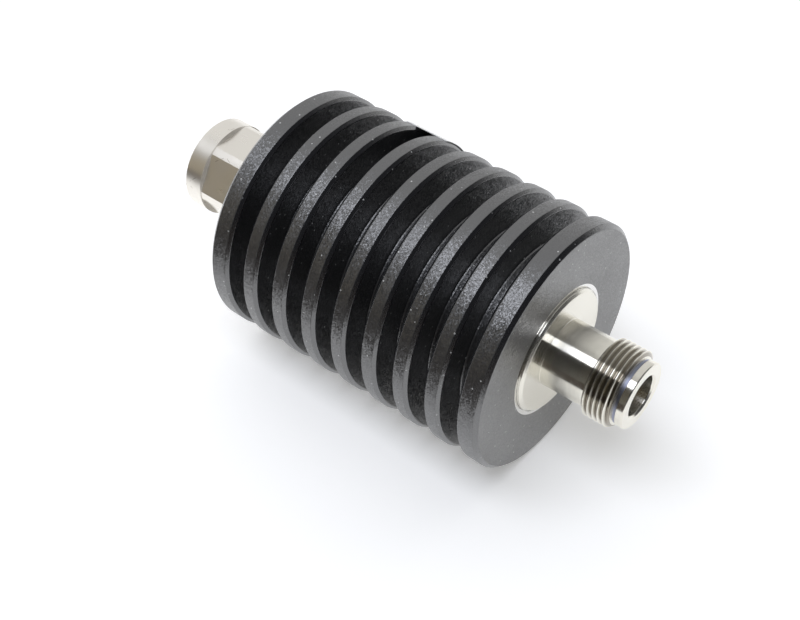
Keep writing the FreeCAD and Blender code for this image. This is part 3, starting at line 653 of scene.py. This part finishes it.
# %% Label film
label_film, tree, shader, place = new_finish("white_polyester_label_film", "#f4f4f2",
                                             Roughness=0.35, IOR=1.6)
fibres = add(tree, "TexNoise", {"Vector": place, "Scale": 1 / (0.6 * MM), "Detail": 3.0})
gloss = add(tree, "MapRange", {0: fibres.outputs[0], 1: 0.3, 2: 0.7, 3: 0.3, 4: 0.42})
tree.links.new(gloss.outputs[0], shader.inputs["Roughness"])
relief = add(tree, "Bump", {"Height": fibres.outputs[0], "Strength": 0.1, "Distance": 0.02 * MM})
tree.links.new(relief.outputs[0], shader.inputs["Normal"])
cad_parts["label"].data.materials[0] = label_film

# %% [markdown]
# ## Inside the jack and the plug
# Through the openings one sees a little of the contacts and what holds them. Their metals are
# guesses from how such parts are made: spring bronze under a thin gold plate, PTFE beads and a red
# silicone ring. One noise gives each finish both its change of gloss and its surface.

# %% Finishes of the inner pieces
INNER = {
    "contact_bronze": ("gold_plated_bronze", "#b39b78", 1.0, 0.16, 1.5, 0.08, 0.3),
    "spring_bronze": ("plain_spring_bronze", "#b08d5b", 1.0, 0.28, 1.5, 0.1, 0.3),
    "ptfe": ("turned_ptfe", "#ebebe6", 0.0, 0.45, 1.35, 0.15, 0.4),
    "silicone_rubber": ("red_silicone_rubber", "#b5624c", 0.0, 0.6, 1.43, 0.3, 0.5),
    "plain_aluminium": ("mill_finish_aluminium", "#cfcfcf", 1.0, 0.32, 1.5, 0.15, 0.25),
    "steel_screw": ("zinc_plated_steel", "#c3c5c7", 1.0, 0.3, 1.5, 0.1, 0.2),
    "plated_copper": ("nickel_plated_copper", "#d3cdc2", 1.0, 0.2, 1.5, 0.08, 0.3),
    "chip_ceramic": ("white_beryllia_ceramic", "#e9e7e0", 0.0, 0.5, 1.72, 0.2, 0.15),
    "resistive_film": ("fired_resistive_film", "#3b3a3e", 0.0, 0.35, 1.6, 0.1, 0.2),
}
inner_finish = {}
for slot, (title, colour, metal, rough, ior, depth, grain_mm) in INNER.items():
    finish, tree, shader, place = new_finish(title, colour, Metallic=metal, IOR=ior)
    speckle = add(tree, "TexNoise", {"Vector": place, "Scale": 1 / (grain_mm * MM), "Detail": 2.0})
    gloss = add(tree, "MapRange", {0: speckle.outputs[0], 1: 0.3, 2: 0.7,
                                   3: rough * 0.85, 4: rough * 1.15})
    tree.links.new(gloss.outputs[0], shader.inputs["Roughness"])
    relief = add(tree, "Bump", {"Height": speckle.outputs[0], "Strength": depth,
                                "Distance": 0.02 * MM})
    tree.links.new(relief.outputs[0], shader.inputs["Normal"])
    inner_finish[slot] = finish
print("inner finishes:", ", ".join(inner_finish))

# %% Finishes on the nodes that keep their CAD shape
KEPT_NODES = {
    "core_block": "plain_aluminium", "core_cover": "plain_aluminium",
    "cover_screws": "steel_screw", "chip_screws": "steel_screw",
    "chip_flange": "plated_copper", "attenuator_chip": "chip_ceramic",
    "resistive_film": "resistive_film", "input_tab": "contact_bronze",
    "output_tab": "contact_bronze", "jack_insulator": "ptfe", "plug_insulator": "ptfe",
    "jack_center_contact": "contact_bronze", "plug_center_pin": "contact_bronze",
    "plug_contact_sleeve": "contact_bronze", "plug_gasket": "silicone_rubber",
    "nut_retaining_ring": "spring_bronze",
}
for node, slot in KEPT_NODES.items():
    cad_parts[node].data.materials[0] = inner_finish[slot]
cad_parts["plug_body"].data.materials[0] = bright_nickel
print(len(KEPT_NODES) + 2, "CAD nodes keep their shape")
